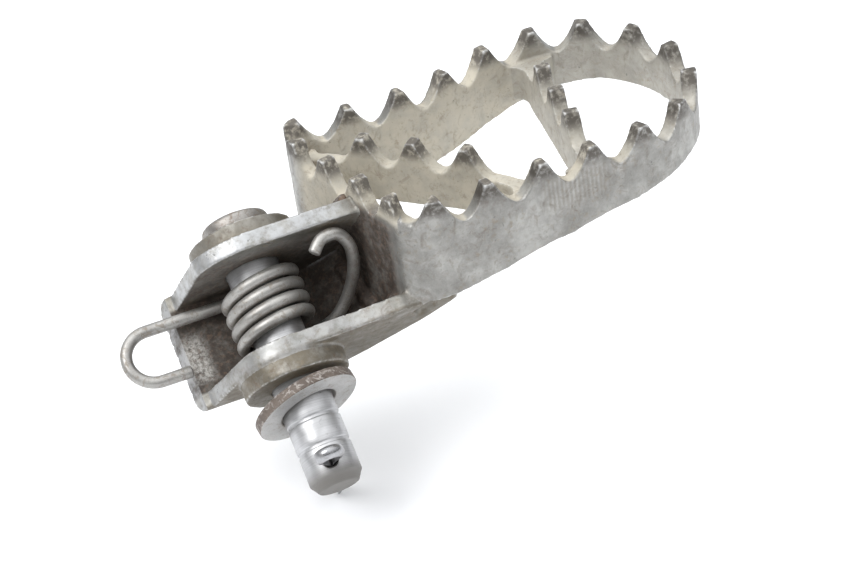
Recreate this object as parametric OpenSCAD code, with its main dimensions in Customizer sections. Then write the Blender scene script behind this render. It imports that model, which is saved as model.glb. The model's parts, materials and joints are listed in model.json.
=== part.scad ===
// Folding rider foot peg with a toothed open tread, a channel bracket and a sprung hinge pin.
// Row frame: origin on the hinge axis midway between the bracket ears, +X outward along the
// tread, +Z the way the teeth point.  The hinge pin runs along Y, tilted by hinge_tilt, with
// its head on the +Y side.

/* [Hinge] */
// Tilt of the hinge pin out of the tread plane, in degrees
hinge_tilt = 40; // [30:1:45]
// Diameter of the hinge pin
pin_d = 12; // [11.6:0.1:12.2]
// Length of the hinge pin under its head
pin_length = 61; // [60:0.5:64]
// Diameter of the pin head
head_d = 15.5; // [15:0.5:18]
// Thickness of the pin head
head_t = 3.5; // [2:0.5:4]
// Radial running clearance between the pin and the bores of the peg
pin_clearance = 0.06; // [0.04:0.01:0.1]

/* [Bracket] */
// Width of the bracket over its two ears
bracket_w = 27.6; // [26:0.2:28]
// Thickness of the bracket plate
plate_t = 3.8; // [3.5:0.1:4]
// Distance from the hinge axis to the stop face on the nose
nose_reach = 19.5; // [18.5:0.5:21]
// Distance from the hinge axis to the underside of the bracket
web_depth = 15; // [14.5:0.5:16]
// Radius of the rounded lobe of the far ear about the pin
lobe_r = 15.5; // [14.5:0.5:16.5]
// Radius of the rounded lobe of the near ear about the pin
near_lobe_r = 12.2; // [12:0.1:14]
// How far the stop face leans back over the thickness of the plate
nose_lean = 1.5; // [0:0.1:2]
// Outer diameter of the bearing boss on each ear
boss_d = 24; // [22:0.5:25]
// Length of the bearing boss on each ear
boss_t = 4.2; // [3.8:0.1:4.5]

/* [Tread] */
// Height of the tooth tips above the hinge axis
tip_z = 25.7; // [25:0.1:26.5]
// Thickness of the tread walls
wall_t = 3.6; // [3:0.1:4]
// Depth of the hollows between the teeth
tooth_h = 6.6; // [6:0.2:7.2]
// Width of each tooth at its tip, measured along the wall
tooth_tip = 2; // [1.4:0.1:2.4]
// Depth of the rim below the tooth tips at the bracket
rim_h_root = 25.5; // [24:0.5:27]
// Depth of the rim below the tooth tips at the outer end
rim_h_tip = 14.2; // [14:0.1:17]
// Depth of the outer crossbar below its tooth tips
crossbar_h = 15.5; // [14:0.5:16]
// Depth of the diagonal brace below its tooth tips
brace_h = 15.5; // [14:0.5:17]

/* [Spring, washer and cotter] */
// Diameter of the spring wire
wire_d = 2.8; // [2.4:0.1:2.9]
// Mean radius of the spring coil
coil_r = 8.2; // [8:0.1:8.6]
// Distance from one turn of the coil to the next
coil_pitch = 3.3; // [3:0.1:3.4]
// Number of turns in the coil
coil_turns = 4; // [3:1:4]
// Outer diameter of the washer
washer_d = 24; // [22:0.5:25]
// Thickness of the washer
washer_t = 2.4; // [1.8:0.1:2.5]
// Tilt of the loose washer on the pin, in degrees
washer_tilt = 8; // [0:1:9]
// Diameter of the cross hole for the cotter pin
cross_hole_d = 3.6; // [3.4:0.1:3.8]
// Diameter of the two cotter legs together
cotter_d = 3; // [2.8:0.1:3.1]
// Length of the cotter legs below the eye
cotter_length = 32; // [25:1:36]

/* [Hidden] */
$fn = 64;
BIG = 200;

steel = [0.50, 0.49, 0.46];
dark_steel = [0.40, 0.38, 0.35];
bright_steel = [0.66, 0.66, 0.66];
wire_steel = [0.56, 0.54, 0.50];

// Tread outline: the centre of every rim tooth, from the far inner corner round the outer end
// to the near inner corner.  The wall is a smooth curve through them.
RIM_TEETH = [[21.6, 31.6], [34.5, 31], [47, 31], [59, 33.4], [71.8, 38.2], [84.8, 39.8],
             [96.6, 36.4], [105, 26.8], [108.4, 13.8], [106, -0.2], [97, -11.2],
             [85.4, -15.8], [72.8, -17], [60.6, -17.6], [47.4, -18.6], [35, -18.6]];
RIM_START = [19.3, 23];
RIM_END = [28.6, -15.2];
WALL_TEETH = [[19.3, 23], [22.1, 11.4], [25, -0.4], [27.8, -12]];
BRACE_TEETH = [[32.3, 16], [41, 7.2], [49.7, -2.5]];
BRACE_PATH = [[21.6, 27.4], [32.3, 16], [41, 7.2], [49.7, -2.5], [55.3, -9.8], [58.6, -17]];
BAR_TEETH = [[79.7, 21.8], [77.8, 10.4], [75.9, -1]];
BAR_PATH = [[82.6, 38.5], [79.7, 21.8], [77.8, 10.4], [75.9, -1], [73.8, -15.6]];

nose_x = -nose_reach;
half_w = bracket_w / 2;
inner_w = half_w - plate_t;
boss_y = half_w + boss_t;
bore_r = pin_d / 2 + pin_clearance;
head_y = boss_y + 0.5;
pin_end_y = head_y - pin_length;
cross_y = pin_end_y + 5.3;
cross_turn = -9;
groove_w = 0.8;
groove_r = pin_d / 2 - 0.25;
groove_ys = [cross_y + 10, cross_y + 3.8];
washer_y = -boss_y - 4.7;
washer_play = 1.4;
base_z = tip_z - 60;
slope_x0 = 25;
slope_x1 = 100;

// Turns a shape from the pin's own frame (pin along Y) into the row frame
module hinge_frame() {
    rotate([hinge_tilt, 0, 0]) children();
}

// Catmull-Rom point between b and c
function smooth(a, b, c, d, t) =
    0.5 * (2 * b + (c - a) * t + (2 * a - 5 * b + 4 * c - d) * t * t
           + (3 * b - a - 3 * c + d) * t * t * t);
function clamped(p, i) = p[max(0, min(len(p) - 1, i))];
function curve(p, steps) = concat(
    [for (i = [0 : len(p) - 2], k = [0 : steps - 1])
        smooth(clamped(p, i - 1), p[i], p[i + 1], clamped(p, i + 2), k / steps)],
    [p[len(p) - 1]]);
function unit(v) = v / norm(v);
function left_of(v) = [-v[1], v[0]];
function tangent(p, i) = unit(clamped(p, i + 1) - clamped(p, i - 1));
function side(p, off) = [for (i = [0 : len(p) - 1]) p[i] + off * left_of(tangent(p, i))];
function reversed(p) = [for (i = [len(p) - 1 : -1 : 0]) p[i]];

// Distance along a path at each of its points
function along(p) = [for (i = 0, s = 0; i < len(p);
    s = s + (i + 1 < len(p) ? norm(p[i + 1] - p[i]) : 0), i = i + 1) s];

// Outline of a wall of thickness thick along a path
module strip(path, thick = wall_t) {
    polygon(concat(side(path, thick / 2), reversed(side(path, -thick / 2))));
}

// The same with fillets at the start and at the end, where the member runs into a wall whose
// centre line the path starts or ends on
function flare(d, r) = d >= r ? 0 : r - sqrt(r * r - pow(r - max(d, 0), 2));
module flared_strip(path, thick, r_start, r_end) {
    dist = along(path);
    total = dist[len(path) - 1];
    off = [for (s = dist) thick / 2 + flare(s - wall_t / 2, r_start)
                          + flare(total - s - wall_t / 2, r_end)];
    outer = [for (i = [0 : len(path) - 1]) path[i] + off[i] * left_of(tangent(path, i))];
    inner = [for (i = [0 : len(path) - 1]) path[i] - off[i] * left_of(tangent(path, i))];
    polygon(concat(outer, reversed(inner)));
}

// Side profile of the hollow between two teeth that stand gap apart
module hollow_profile(gap, full_depth) {
    half = (gap - tooth_tip) / 2;
    depth = min(full_depth, gap * 0.56);
    steps = 8;
    floor_line = [for (k = [-steps : steps])
        [half * k / steps, -depth * (1 - pow(abs(k / steps), 1.7))]];
    polygon(concat([[-half - 0.8, 3], [-half, 0]], floor_line, [[half, 0], [half + 0.8, 3]]));
}

// Cutters for the hollows between the teeth of one wall
module hollows(teeth, depth = tooth_h) {
    for (i = [0 : len(teeth) - 2]) {
        a = teeth[i];
        b = teeth[i + 1];
        gap = norm(b - a);
        mid = (a + b) / 2;
        translate([mid[0], mid[1], tip_z])
            rotate([0, 0, atan2(b[1] - a[1], b[0] - a[0])])
            rotate([90, 0, 0])
            translate([0, 0, -6]) linear_extrude(12) hollow_profile(gap, depth);
    }
}

// Everything above the sloping lower edge of the rim
module above_lower_edge() {
    z0 = tip_z - rim_h_root;
    z1 = tip_z - rim_h_tip;
    translate([0, BIG / 2, 0]) rotate([90, 0, 0]) linear_extrude(BIG)
        polygon([[0, z0], [slope_x0, z0], [slope_x1, z1], [BIG, z1],
                 [BIG, tip_z], [0, tip_z]]);
}

rim_path = curve(concat([RIM_START], RIM_TEETH, [RIM_END]), 6);

module rim_band() {
    translate([0, 0, base_z]) linear_extrude(60) strip(rim_path);
}

module tread_rim() {
    color(steel) difference() {
        intersection() {
            rim_band();
            above_lower_edge();
        }
        hollows(concat([RIM_START], RIM_TEETH, [WALL_TEETH[3]]));
    }
}

// Side outline of the bracket: nose, rounded lobe over the pin and a foot that rises to the
// rim.  The crest is the upper edge from the lobe to the rim.
module bracket_outline(r, crest) {
    lobe = [for (a = [150 : -6 : 84]) r * [cos(a), sin(a)]];
    top = -web_depth + plate_t;
    polygon(concat(
        [[nose_x - nose_lean / 2, -web_depth], [nose_x + nose_lean / 2, top],
         [nose_x + nose_lean / 2 + 1.6, top + 0.3]],
        lobe, crest,
        [[30, 13], [40, 13], [27.5, -4], [13, -web_depth]]));
}

// The channel: the far ear stands higher than the near one
module bracket_solid() {
    hinge_frame() difference() {
        union() {
            across(half_w) bracket_outline(near_lobe_r, [[13, near_lobe_r], [20, 13.4], [25, 14.2]]);
            across(half_w / 2, half_w / 2)
                bracket_outline(lobe_r, [[20, lobe_r + 0.6], [26, lobe_r]]);
        }
        across(inner_w) channel_outline();
    }
}

// The inside of the channel, open at the top and at the nose
module channel_outline() {
    top = -web_depth + plate_t;
    polygon([[nose_x - 1, top], [12, top], [25.5, -0.5], [42, 14], [42, 40], [nose_x - 1, 40]]);
}

module across(half, y = 0) {
    translate([0, y + half, 0]) rotate([90, 0, 0]) linear_extrude(2 * half) children();
}

// Everything on the tread's side of the end wall
module beyond_end_wall() {
    a = WALL_TEETH[0];
    b = WALL_TEETH[3];
    d = unit(b - a);
    n = left_of(d);
    p = a - n * wall_t / 2;
    translate([0, 0, -BIG / 2]) linear_extrude(BIG)
        polygon([p - d * BIG, p + d * BIG, p + d * BIG + n * BIG, p - d * BIG + n * BIG]);
}

// The open space inside the near corner of the tread, down to its lower edge
module inside_loop() {
    translate([0, 0, tip_z - rim_h_root]) linear_extrude(BIG)
        polygon([[26, -9], [26, 10], [60, 10], [60, -17.5], [34, -17.5]]);
}

module near_ear_side() {
    hinge_frame() translate([0, -BIG / 2 - inner_w, 0]) cube(BIG, center = true);
}

module pivot_bracket() {
    color(steel) difference() {
        bracket_solid();
        hinge_frame() rotate([90, 0, 0]) cylinder(r = bore_r, h = BIG, center = true);
        // only the near ear runs on, under the near wall of the rim
        difference() {
            beyond_end_wall();
            near_ear_side();
        }
        rim_band();
        inside_loop();
    }
}

module end_wall() {
    a = WALL_TEETH[0];
    b = WALL_TEETH[3];
    d = unit(b - a);
    color(steel) difference() {
        intersection() {
            translate([0, 0, base_z]) linear_extrude(60) strip([a - d * 2, b + d * 3.2]);
            union() {
                above_lower_edge();
                // runs on down past the ends of the web and the ears, which butt against it
                hinge_frame() translate([0, 0, -2.6]) across(half_w - 1) channel_outline();
            }
            translate([0, 0, tip_z - BIG / 2]) cube(BIG, center = true);
        }
        rim_band();
        intersection() {
            bracket_solid();
            near_ear_side();
        }
        hollows(concat(WALL_TEETH, [RIM_TEETH[len(RIM_TEETH) - 1]]));
    }
}

// A toothed member that butts against the walls at its two ends.  Its teeth stand on a shelf
// that runs out level to the walls.
module member(path, teeth, height, r_start) {
    first = teeth[0];
    last = teeth[len(teeth) - 1];
    d0 = unit(first - teeth[1]);
    d1 = unit(last - teeth[len(teeth) - 2]);
    gap = norm(teeth[1] - first);
    color(steel) difference() {
        translate([0, 0, tip_z - height]) linear_extrude(height)
            flared_strip(curve(path, 8), wall_t, r_start, 4.5);
        rim_band();
        translate([0, 0, base_z]) linear_extrude(60) strip([WALL_TEETH[0], WALL_TEETH[3]]);
        hollows(concat([first + d0 * gap], teeth, [last + d1 * gap]));
        shelf(first + d0 * gap / 2, d0);
        shelf(last + d1 * gap / 2, d1);
    }
}

// Clears everything above the floor of the hollows from a point on, in direction d
module shelf(from, d) {
    translate([from[0], from[1], tip_z - tooth_h]) rotate([0, 0, atan2(d[1], d[0])])
        translate([0, -12, 0]) cube([30, 24, tooth_h + 1]);
}

module diagonal_brace() member(BRACE_PATH, BRACE_TEETH, brace_h, 1.5);

module outer_crossbar() member(BAR_PATH, BAR_TEETH, crossbar_h, 4.5);

// Bearing boss on the outside of an ear, on the side given by way
module boss(way) {
    color(dark_steel) hinge_frame()
        translate([0, way * (half_w + boss_t / 2), 0]) rotate([90, 0, 0])
        difference() {
            cylinder(d = boss_d, h = boss_t, center = true);
            cylinder(r = bore_r, h = boss_t + 2, center = true);
        }
}

module far_boss() boss(1);

module near_boss() boss(-1);

// A round weld bead between two points
module bead(from, to, r) {
    v = to - from;
    translate(from) rotate([0, acos(v[2] / norm(v)), atan2(v[1], v[0])])
        cylinder(r = r, h = norm(v));
}

// Point in the row frame of a point given in the pin's frame
function row_point(p) = [p[0], p[1] * cos(hinge_tilt) - p[2] * sin(hinge_tilt),
                         p[1] * sin(hinge_tilt) + p[2] * cos(hinge_tilt)];

// Weld bead cut back to the faces of the bracket and the end wall that it joins
module weld(from, to, r) {
    color(dark_steel) difference() {
        bead(row_point(from), row_point(to), r);
        bracket_solid();
        beyond_end_wall();
    }
}

module weld_far_ear() weld([20.4, half_w, -8], [23.2, half_w, 13], 2.2);

module weld_near_ear() weld([24.4, -inner_w, 0], [25.7, -inner_w, 8], 2);

module weld_web() weld([20.5, 6, -6], [23.5, -6, -3], 1.6);

module pivot_pin() {
    chamfer = 2.2;
    r = pin_d / 2;
    g = groove_w / 2;
    g0 = -groove_ys[0];
    g1 = -groove_ys[1];
    y1 = -pin_end_y;
    color(bright_steel) hinge_frame() difference() {
        rotate([90, 0, 0]) rotate_extrude()
            polygon([[0, -head_y - head_t], [head_d / 2 - 0.8, -head_y - head_t],
                     [head_d / 2, -head_y - head_t + 0.8], [head_d / 2, -head_y], [r, -head_y],
                     [r, g0 - g], [groove_r, g0 - g], [groove_r, g0 + g], [r, g0 + g],
                     [r, g1 - g], [groove_r, g1 - g], [groove_r, g1 + g], [r, g1 + g],
                     [r, y1 - chamfer], [r - 1, y1], [0, y1]]);
        translate([0, cross_y, 0]) rotate([0, cross_turn, 0])
            cylinder(d = cross_hole_d, h = BIG, center = true, $fn = 48);
    }
}

// Centre line of the return spring in the pin's frame: a loop that hooks over the frame
// bracket, a leg to the underside of the coil, the coil, and a hook against the end wall
coil_y0 = 6.85;
coil_y1 = coil_y0 - coil_turns * coil_pitch;
coil_slant = 0.07;
loop_x = -26;
loop_r = 6;
function loop_points() = concat(
    [[-19.5, coil_y0 - 2 * loop_r, -coil_r]],
    [for (a = [-90 : -15 : -270])
        [loop_x + loop_r * cos(a), coil_y0 - loop_r + loop_r * sin(a), -coil_r]],
    [[-12, coil_y0, -coil_r]]);
function coil_points() = [for (k = [0 : 20 * coil_turns])
    let (a = -90 + 18 * k)
    [coil_r * cos(a), coil_y0 - coil_pitch * k / 20 + coil_slant * coil_r * cos(a),
     coil_r * sin(a)]];
HOOK = [[0, coil_y1, -coil_r], [8, coil_y1 + 0.2, -coil_r + 0.3], [15, -4.8, -4.2],
        [19.6, 0, 2.5], [20.4, 4.6, 8.6], [18, 7.6, 12.6], [14, 7.5, 13.6],
        [11.4, 5.2, 13.2]];
function spring_path() = concat(loop_points(), coil_points(),
    [for (p = curve(HOOK, 5)) if (p[0] > 3) p]);

// Closed tube swept along a path of points, with a side vector carried along without twist
function flat_to(u, d) = unit(u - (u * d) * d);
module tube(path, r, sides, first_side) {
    n = len(path);
    dirs = [for (i = [0 : n - 1]) tangent(path, i)];
    side_vs = [for (i = 0, u = flat_to(first_side, dirs[0]); i < n;
                    u = i + 1 < n ? flat_to(u, dirs[i + 1]) : u, i = i + 1) u];
    rings = [for (i = [0 : n - 1])
        let (u = side_vs[i], v = cross(u, dirs[i]))
        for (k = [0 : sides - 1])
            path[i] + r * (cos(360 * k / sides) * u + sin(360 * k / sides) * v)];
    walls = [for (i = [0 : n - 2], k = [0 : sides - 1])
        let (j = (k + 1) % sides)
        [i * sides + k, i * sides + j, (i + 1) * sides + j, (i + 1) * sides + k]];
    caps = [[for (k = [sides - 1 : -1 : 0]) k], [for (k = [0 : sides - 1]) (n - 1) * sides + k]];
    polyhedron(rings, concat(walls, caps), convexity = 10);
}

module return_spring() {
    color(wire_steel) hinge_frame() tube(spring_path(), wire_d / 2, 10, [0, 0, 1]);
}

module washer() {
    color(bright_steel) hinge_frame() translate([0, washer_y, 0])
        rotate([-washer_tilt, 0, washer_tilt])
        rotate([90, 0, 0]) difference() {
            cylinder(d = washer_d, h = washer_t, center = true);
            cylinder(d = pin_d + washer_play, h = washer_t + 2, center = true);
        }
}

// Split pin: a round eye on top and two half-round legs side by side
module cotter_pin() {
    eye_r = 2.6;
    wire_r = cotter_d / 4;
    r = cotter_d / 2;
    color(bright_steel) hinge_frame() translate([0, cross_y, 0]) rotate([0, cross_turn, 0])
        translate([0, 0, pin_d / 2 + 0.4]) {
            translate([0, 0, eye_r + wire_r]) rotate([90, 0, 0])
                rotate_extrude() translate([eye_r, 0]) circle(wire_r, $fn = 24);
            for (way = [-1, 1]) {
                reach = cotter_length - (way > 0 ? 0 : 2.5);
                translate([0, 0, -reach]) linear_extrude(reach + 1.2) intersection() {
                    circle(r, $fn = 32);
                    translate([way * r + way * 0.05, 0]) square([2 * r, 2 * r], center = true);
                }
            }
        }
}

tread_rim();
end_wall();
diagonal_brace();
outer_crossbar();
pivot_bracket();
far_boss();
near_boss();
weld_far_ear();
weld_near_ear();
weld_web();
pivot_pin();
return_spring();
washer();
cotter_pin();
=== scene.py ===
import json
import math

import bmesh
import bpy
import numpy as np
from mathutils import Matrix, Vector, kdtree, noise


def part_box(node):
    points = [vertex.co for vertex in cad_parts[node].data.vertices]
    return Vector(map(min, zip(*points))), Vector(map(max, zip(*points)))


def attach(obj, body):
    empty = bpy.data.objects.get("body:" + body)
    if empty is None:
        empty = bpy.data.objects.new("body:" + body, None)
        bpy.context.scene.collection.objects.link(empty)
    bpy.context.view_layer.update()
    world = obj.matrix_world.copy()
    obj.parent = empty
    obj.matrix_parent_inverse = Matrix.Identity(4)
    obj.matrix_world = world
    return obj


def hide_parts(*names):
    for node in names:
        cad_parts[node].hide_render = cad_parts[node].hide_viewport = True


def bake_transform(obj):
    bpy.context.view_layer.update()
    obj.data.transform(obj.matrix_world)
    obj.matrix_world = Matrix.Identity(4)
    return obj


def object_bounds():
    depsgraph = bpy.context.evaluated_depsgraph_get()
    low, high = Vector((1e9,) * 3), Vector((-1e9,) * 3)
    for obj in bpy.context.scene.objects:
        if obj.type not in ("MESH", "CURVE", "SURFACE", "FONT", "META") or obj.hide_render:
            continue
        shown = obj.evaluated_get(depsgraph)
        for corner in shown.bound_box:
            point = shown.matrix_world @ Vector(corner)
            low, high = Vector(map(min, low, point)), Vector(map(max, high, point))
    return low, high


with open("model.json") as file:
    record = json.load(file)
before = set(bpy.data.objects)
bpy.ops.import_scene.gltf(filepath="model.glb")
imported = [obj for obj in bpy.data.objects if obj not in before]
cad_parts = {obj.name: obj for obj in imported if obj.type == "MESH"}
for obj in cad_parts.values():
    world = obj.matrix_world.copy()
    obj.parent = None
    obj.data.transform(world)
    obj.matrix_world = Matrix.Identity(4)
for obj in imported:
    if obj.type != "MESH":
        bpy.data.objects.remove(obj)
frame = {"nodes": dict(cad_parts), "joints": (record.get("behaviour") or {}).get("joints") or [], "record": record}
cad_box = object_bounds()

MM = 0.001
JOINTS = {j["name"]: j for j in frame["joints"]}

# The pin's own frame: u along +X, v along the pin towards its head, w square to both
V = -Vector(JOINTS["peg_fold"]["axis"])
U = Vector((1, 0, 0))
W = U.cross(V)
PIN = Matrix((U, V, W)).transposed()


def row(u, v, w):
    """Point of the row frame, in metres, from the pin's frame in millimetres."""
    return PIN @ Vector((u, v, w)) * MM


def along_axis(node, axis):
    """Lowest and highest reach of a CAD node along an axis, in millimetres."""
    reach = [axis.dot(v.co) / MM for v in frame["nodes"][node].data.vertices]
    return min(reach), max(reach)


# ---------------------------------------------------------------- mesh tools

def new_object(name, data):
    obj = bpy.data.objects.new(name, data)
    bpy.context.scene.collection.objects.link(obj)
    return obj


def from_lists(name, points, faces):
    mesh = bpy.data.meshes.new(name)
    mesh.from_pydata([tuple(p) for p in points], [], faces)
    bm = bmesh.new()
    bm.from_mesh(mesh)
    bmesh.ops.recalc_face_normals(bm, faces=bm.faces)
    bm.to_mesh(mesh)
    bm.free()
    return new_object(name, mesh)


def cad_copy(node):
    """A copy of a CAD node's mesh with its split corners welded."""
    bm = bmesh.new()
    bm.from_mesh(frame["nodes"][node].data)
    bmesh.ops.remove_doubles(bm, verts=bm.verts, dist=0.001 * MM)
    mesh = bpy.data.meshes.new("copy_" + node)
    bm.to_mesh(mesh)
    bm.free()
    return new_object("copy_" + node, mesh)


def applied(obj):
    """Applies the object's modifiers to its mesh."""
    graph = bpy.context.evaluated_depsgraph_get()
    mesh = bpy.data.meshes.new_from_object(obj.evaluated_get(graph), depsgraph=graph)
    obj.modifiers.clear()
    obj.data = mesh
    return obj


def modified(obj, kind, **settings):
    modifier = obj.modifiers.new(kind, kind)
    for key, value in settings.items():
        setattr(modifier, key, value)
    return applied(obj)


def combine(obj, other, operation):
    """Boolean of two closed meshes; other stays as it is."""
    return modified(obj, "BOOLEAN", object=other, operation=operation, solver="MANIFOLD")


def duplicate(obj, name):
    return new_object(name, obj.data.copy())


def remove(*objects):
    for obj in objects:
        bpy.data.objects.remove(obj)


def points_of(obj):
    co = np.zeros(len(obj.data.vertices) * 3)
    obj.data.vertices.foreach_get("co", co)
    return co.reshape(-1, 3)


def normals_of(obj):
    no = np.zeros(len(obj.data.vertices) * 3)
    obj.data.vertex_normals.foreach_get("vector", no)
    return no.reshape(-1, 3)


def set_points(obj, co):
    obj.data.vertices.foreach_set("co", co.ravel())
    obj.data.update()


def noise_at(co, size, seed):
    """Smooth noise from -1 to 1 at each point, with features about size millimetres wide."""
    scaled = co / (size * MM) + seed * 17.3
    return np.array([noise.noise(Vector(p)) for p in scaled])


def swell(obj, amount):
    """Moves every point along its normal by amount millimetres, a number or one per point."""
    shift = np.atleast_1d(amount)[:, None] * MM
    set_points(obj, points_of(obj) + normals_of(obj) * shift)
    return obj


def rounded(obj, voxel, passes):
    """Remeshes a solid at voxel millimetres and rounds its edges and inner corners."""
    modified(obj, "REMESH", mode="VOXEL", voxel_size=voxel * MM)
    return modified(obj, "SMOOTH", factor=0.5, iterations=passes)


LEAST_WEIGHT = 0.02


def soften(obj, lines, passes, top):
    """Extra rounding near upright lines, given as (x, y, reach), and below the height top."""
    co = points_of(obj) / MM
    group = obj.vertex_groups.new(name="soft")
    for x, y, reach in lines:
        weight = near(np.hypot(co[:, 0] - x, co[:, 1] - y), reach * 0.5, reach * 0.5)
        weight = weight * near(co[:, 2], top, 2)
        for i in np.nonzero(weight > LEAST_WEIGHT)[0]:
            group.add([int(i)], float(weight[i]), "REPLACE")
    modified(obj, "SMOOTH", factor=0.5, iterations=passes, vertex_group="soft")
    obj.vertex_groups.clear()
    return obj


def near(value, edge, soft):
    """1 below edge, 0 above edge + soft, smooth between."""
    t = np.clip((edge + soft - value) / soft, 0, 1)
    return t * t * (3 - 2 * t)


def cast_skin(obj, seed, wave=0.10, grain=0.035):
    """The slight unevenness of a forged or cast surface, made in the mesh itself."""
    co = points_of(obj)
    return swell(obj, wave * noise_at(co, 7, seed) + grain * noise_at(co, 1.6, seed + 1))


def shade(obj, angle=40):
    obj.data.shade_smooth()
    obj.data.set_sharp_from_angle(angle=math.radians(angle))
    return obj


# ---------------------------------------------------------------- peg casting

RIM = "tread_rim"
WELDS = ["weld_far_ear", "weld_near_ear", "weld_web"]
BARS = ["diagonal_brace", "outer_crossbar"]
BOSSES = ["far_boss", "near_boss"]
WALLS = [RIM, "end_wall"]

# How far past its CAD solid each piece takes the common skin, in millimetres
WELD_REACH = 0.8
WALL_REACH = 1.6
BOSS_REACH = 0.9
# (node, reach, pieces it stops at), in the order in which they are cut out of the common skin
CUT_ORDER = ([(node, WELD_REACH, []) for node in WELDS]
             + [(node, WALL_REACH, WALLS) for node in BARS]
             + [(node, BOSS_REACH, ["pivot_bracket"]) for node in BOSSES]
             + [("end_wall", WALL_REACH, [RIM, "pivot_bracket"]),
                ("pivot_bracket", WALL_REACH, [RIM])])

# Millimetres: the remeshing steps, and how much thicker a wall is where another piece stops
VOXEL = 0.36
CELL_VOXEL = 0.6
STOP_GAP = 0.75

# The bracket: its bore, its plate's thickness, the outside and inside of its ears, the
# underside of its web and the radius of its folds
BORE_R = 6.2
PLATE = 3.8
EAR_V = along_axis("pivot_bracket", V)[1]
INNER_V = EAR_V - PLATE
UNDER_W = along_axis("pivot_bracket", W)[0]
FOLD_R = 3.2

# The tread: the heights of its tooth tips and of the teeth's roots on its walls and its bars
TIP_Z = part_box(RIM)[1].z / MM
TOOTH_ROOT_Z = TIP_Z - 4
BAR_ROOT_Z = TIP_Z - 8.5

# The upright corners between the end wall and the rim, as (x, y), and the post in the near one
WALL_LOW, WALL_HIGH = (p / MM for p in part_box("end_wall"))
NEAR_CORNER = (WALL_HIGH.x - 1.05, WALL_LOW.y + 0.75)
FAR_CORNER = (WALL_LOW.x + 0.7, WALL_HIGH.y + 0.2)
CORNER_R = 2.4
CORNER_FOOT_Z = 1.2
CORNER_TOP_Z = TIP_Z - 5


def bar_ends(bar, depth=1.5):
    """Where a bar across the tread meets the rim, as (x, y) pairs in millimetres."""
    co = points_of(frame["nodes"][bar])[:, :2] / MM
    sides = (co[:, 1].min(), co[:, 1].max())
    return [co[np.abs(co[:, 1] - side) < depth].mean(0) for side in sides]


class Ridges:
    """How convex the uncut skin is at each place, and its normals there."""

    BLUR_PASSES = 2
    # A point of a cut piece farther than this from the skin's own points lies along a cut
    ON_SKIN = 0.002 * MM
    # The least cosine between a face and the skin for the face to take the skin's normals
    SAME_WAY = 0.6

    def __init__(self, skin):
        co = points_of(skin)
        self.normals = normals_of(skin)
        ends = np.zeros(len(skin.data.edges) * 2, dtype=np.int32)
        skin.data.edges.foreach_get("vertices", ends)
        a, b = ends.reshape(-1, 2).T
        away = co[b] - co[a]
        away = away / np.linalg.norm(away, axis=1)[:, None]
        n = len(co)
        count = np.maximum(np.bincount(a, minlength=n) + np.bincount(b, minlength=n), 1)
        bend = (np.bincount(b, (self.normals[b] * away).sum(1), n)
                - np.bincount(a, (self.normals[a] * away).sum(1), n)) / count
        for _ in range(self.BLUR_PASSES):
            bend = (bend + np.bincount(a, bend[b], n) + np.bincount(b, bend[a], n)) / (count + 1)
        self.bend = bend
        self.tree = kdtree.KDTree(n)
        for i, point in enumerate(co):
            self.tree.insert(point, i)
        self.tree.balance()

    def carry_to(self, piece):
        """Gives a cut piece the skin's convexity, and the skin's normals along its cuts."""
        mesh = piece.data
        found = [self.tree.find(v.co)[1:] for v in mesh.vertices]
        index = np.array([f[0] for f in found])
        cut = np.array([f[1] for f in found]) > self.ON_SKIN
        attribute = mesh.attributes.new("ridge", "FLOAT", "POINT")
        attribute.data.foreach_set("value", self.bend[index].astype(np.float32))
        wanted = self.normals[index]
        for i in np.nonzero(cut)[0]:
            three = self.tree.find_n(mesh.vertices[int(i)].co, 3)
            total = sum((Vector(self.normals[k]) / max(far, 1e-7) for _, k, far in three),
                        Vector())
            wanted[i] = total.normalized()
        corner = np.zeros(len(mesh.loops), dtype=np.int32)
        mesh.loops.foreach_get("vertex_index", corner)
        face_normals = np.zeros(len(mesh.polygons) * 3)
        mesh.polygon_normals.foreach_get("vector", face_normals)
        sides = np.zeros(len(mesh.polygons), dtype=np.int32)
        mesh.polygons.foreach_get("loop_total", sides)
        own = np.repeat(face_normals.reshape(-1, 3), sides, axis=0)
        given = wanted[corner]
        keep = cut[corner] & ((own * given).sum(1) > self.SAME_WAY)
        mesh.normals_split_custom_set(np.where(keep[:, None], given, 0.0).tolist())


def fold_cutter(way):
    """What is cut away to round the outside of the fold between the web and one ear."""
    past = 1.5
    steps = 8
    angles = [math.radians(90 * k / steps) for k in range(steps + 1)]
    corner = [(past, -past), (past, FOLD_R)]
    corner += [(FOLD_R * math.cos(a) - FOLD_R, FOLD_R - FOLD_R * math.sin(a)) for a in angles]
    corner += [(-FOLD_R, -past)]
    outline = [(way * a, b) for a, b in corner]
    # The web's underside runs level under the coil and then climbs to the end wall, as (u, w)
    underside = [(-30, 0), (0, 0), (12, 0), (14, 0.8), (27.5, 11), (40, 20.5)]
    path = [row(u, way * EAR_V, UNDER_W + rise) for u, rise in underside]
    return sweep("fold", path, outline, V)


def weld_solid(node, seed):
    """A CAD bead made fatter and uneven, like a weld that was laid by hand."""
    bead = cad_copy(node)
    rounded(bead, 0.3, 3)
    co = points_of(bead)
    return swell(bead, 0.45 + 0.3 * noise_at(co, 1.5, seed) + 0.25 * noise_at(co, 3, seed + 4))


def rod(name, radius, low_end, high_end, origin, axis, segments):
    """A round bar along an axis, its ends in millimetres from origin."""
    profile = [(0, low_end), (radius, low_end), (radius, high_end), (0, high_end)]
    return spindle(name, profile, origin, axis, segments)


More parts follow.
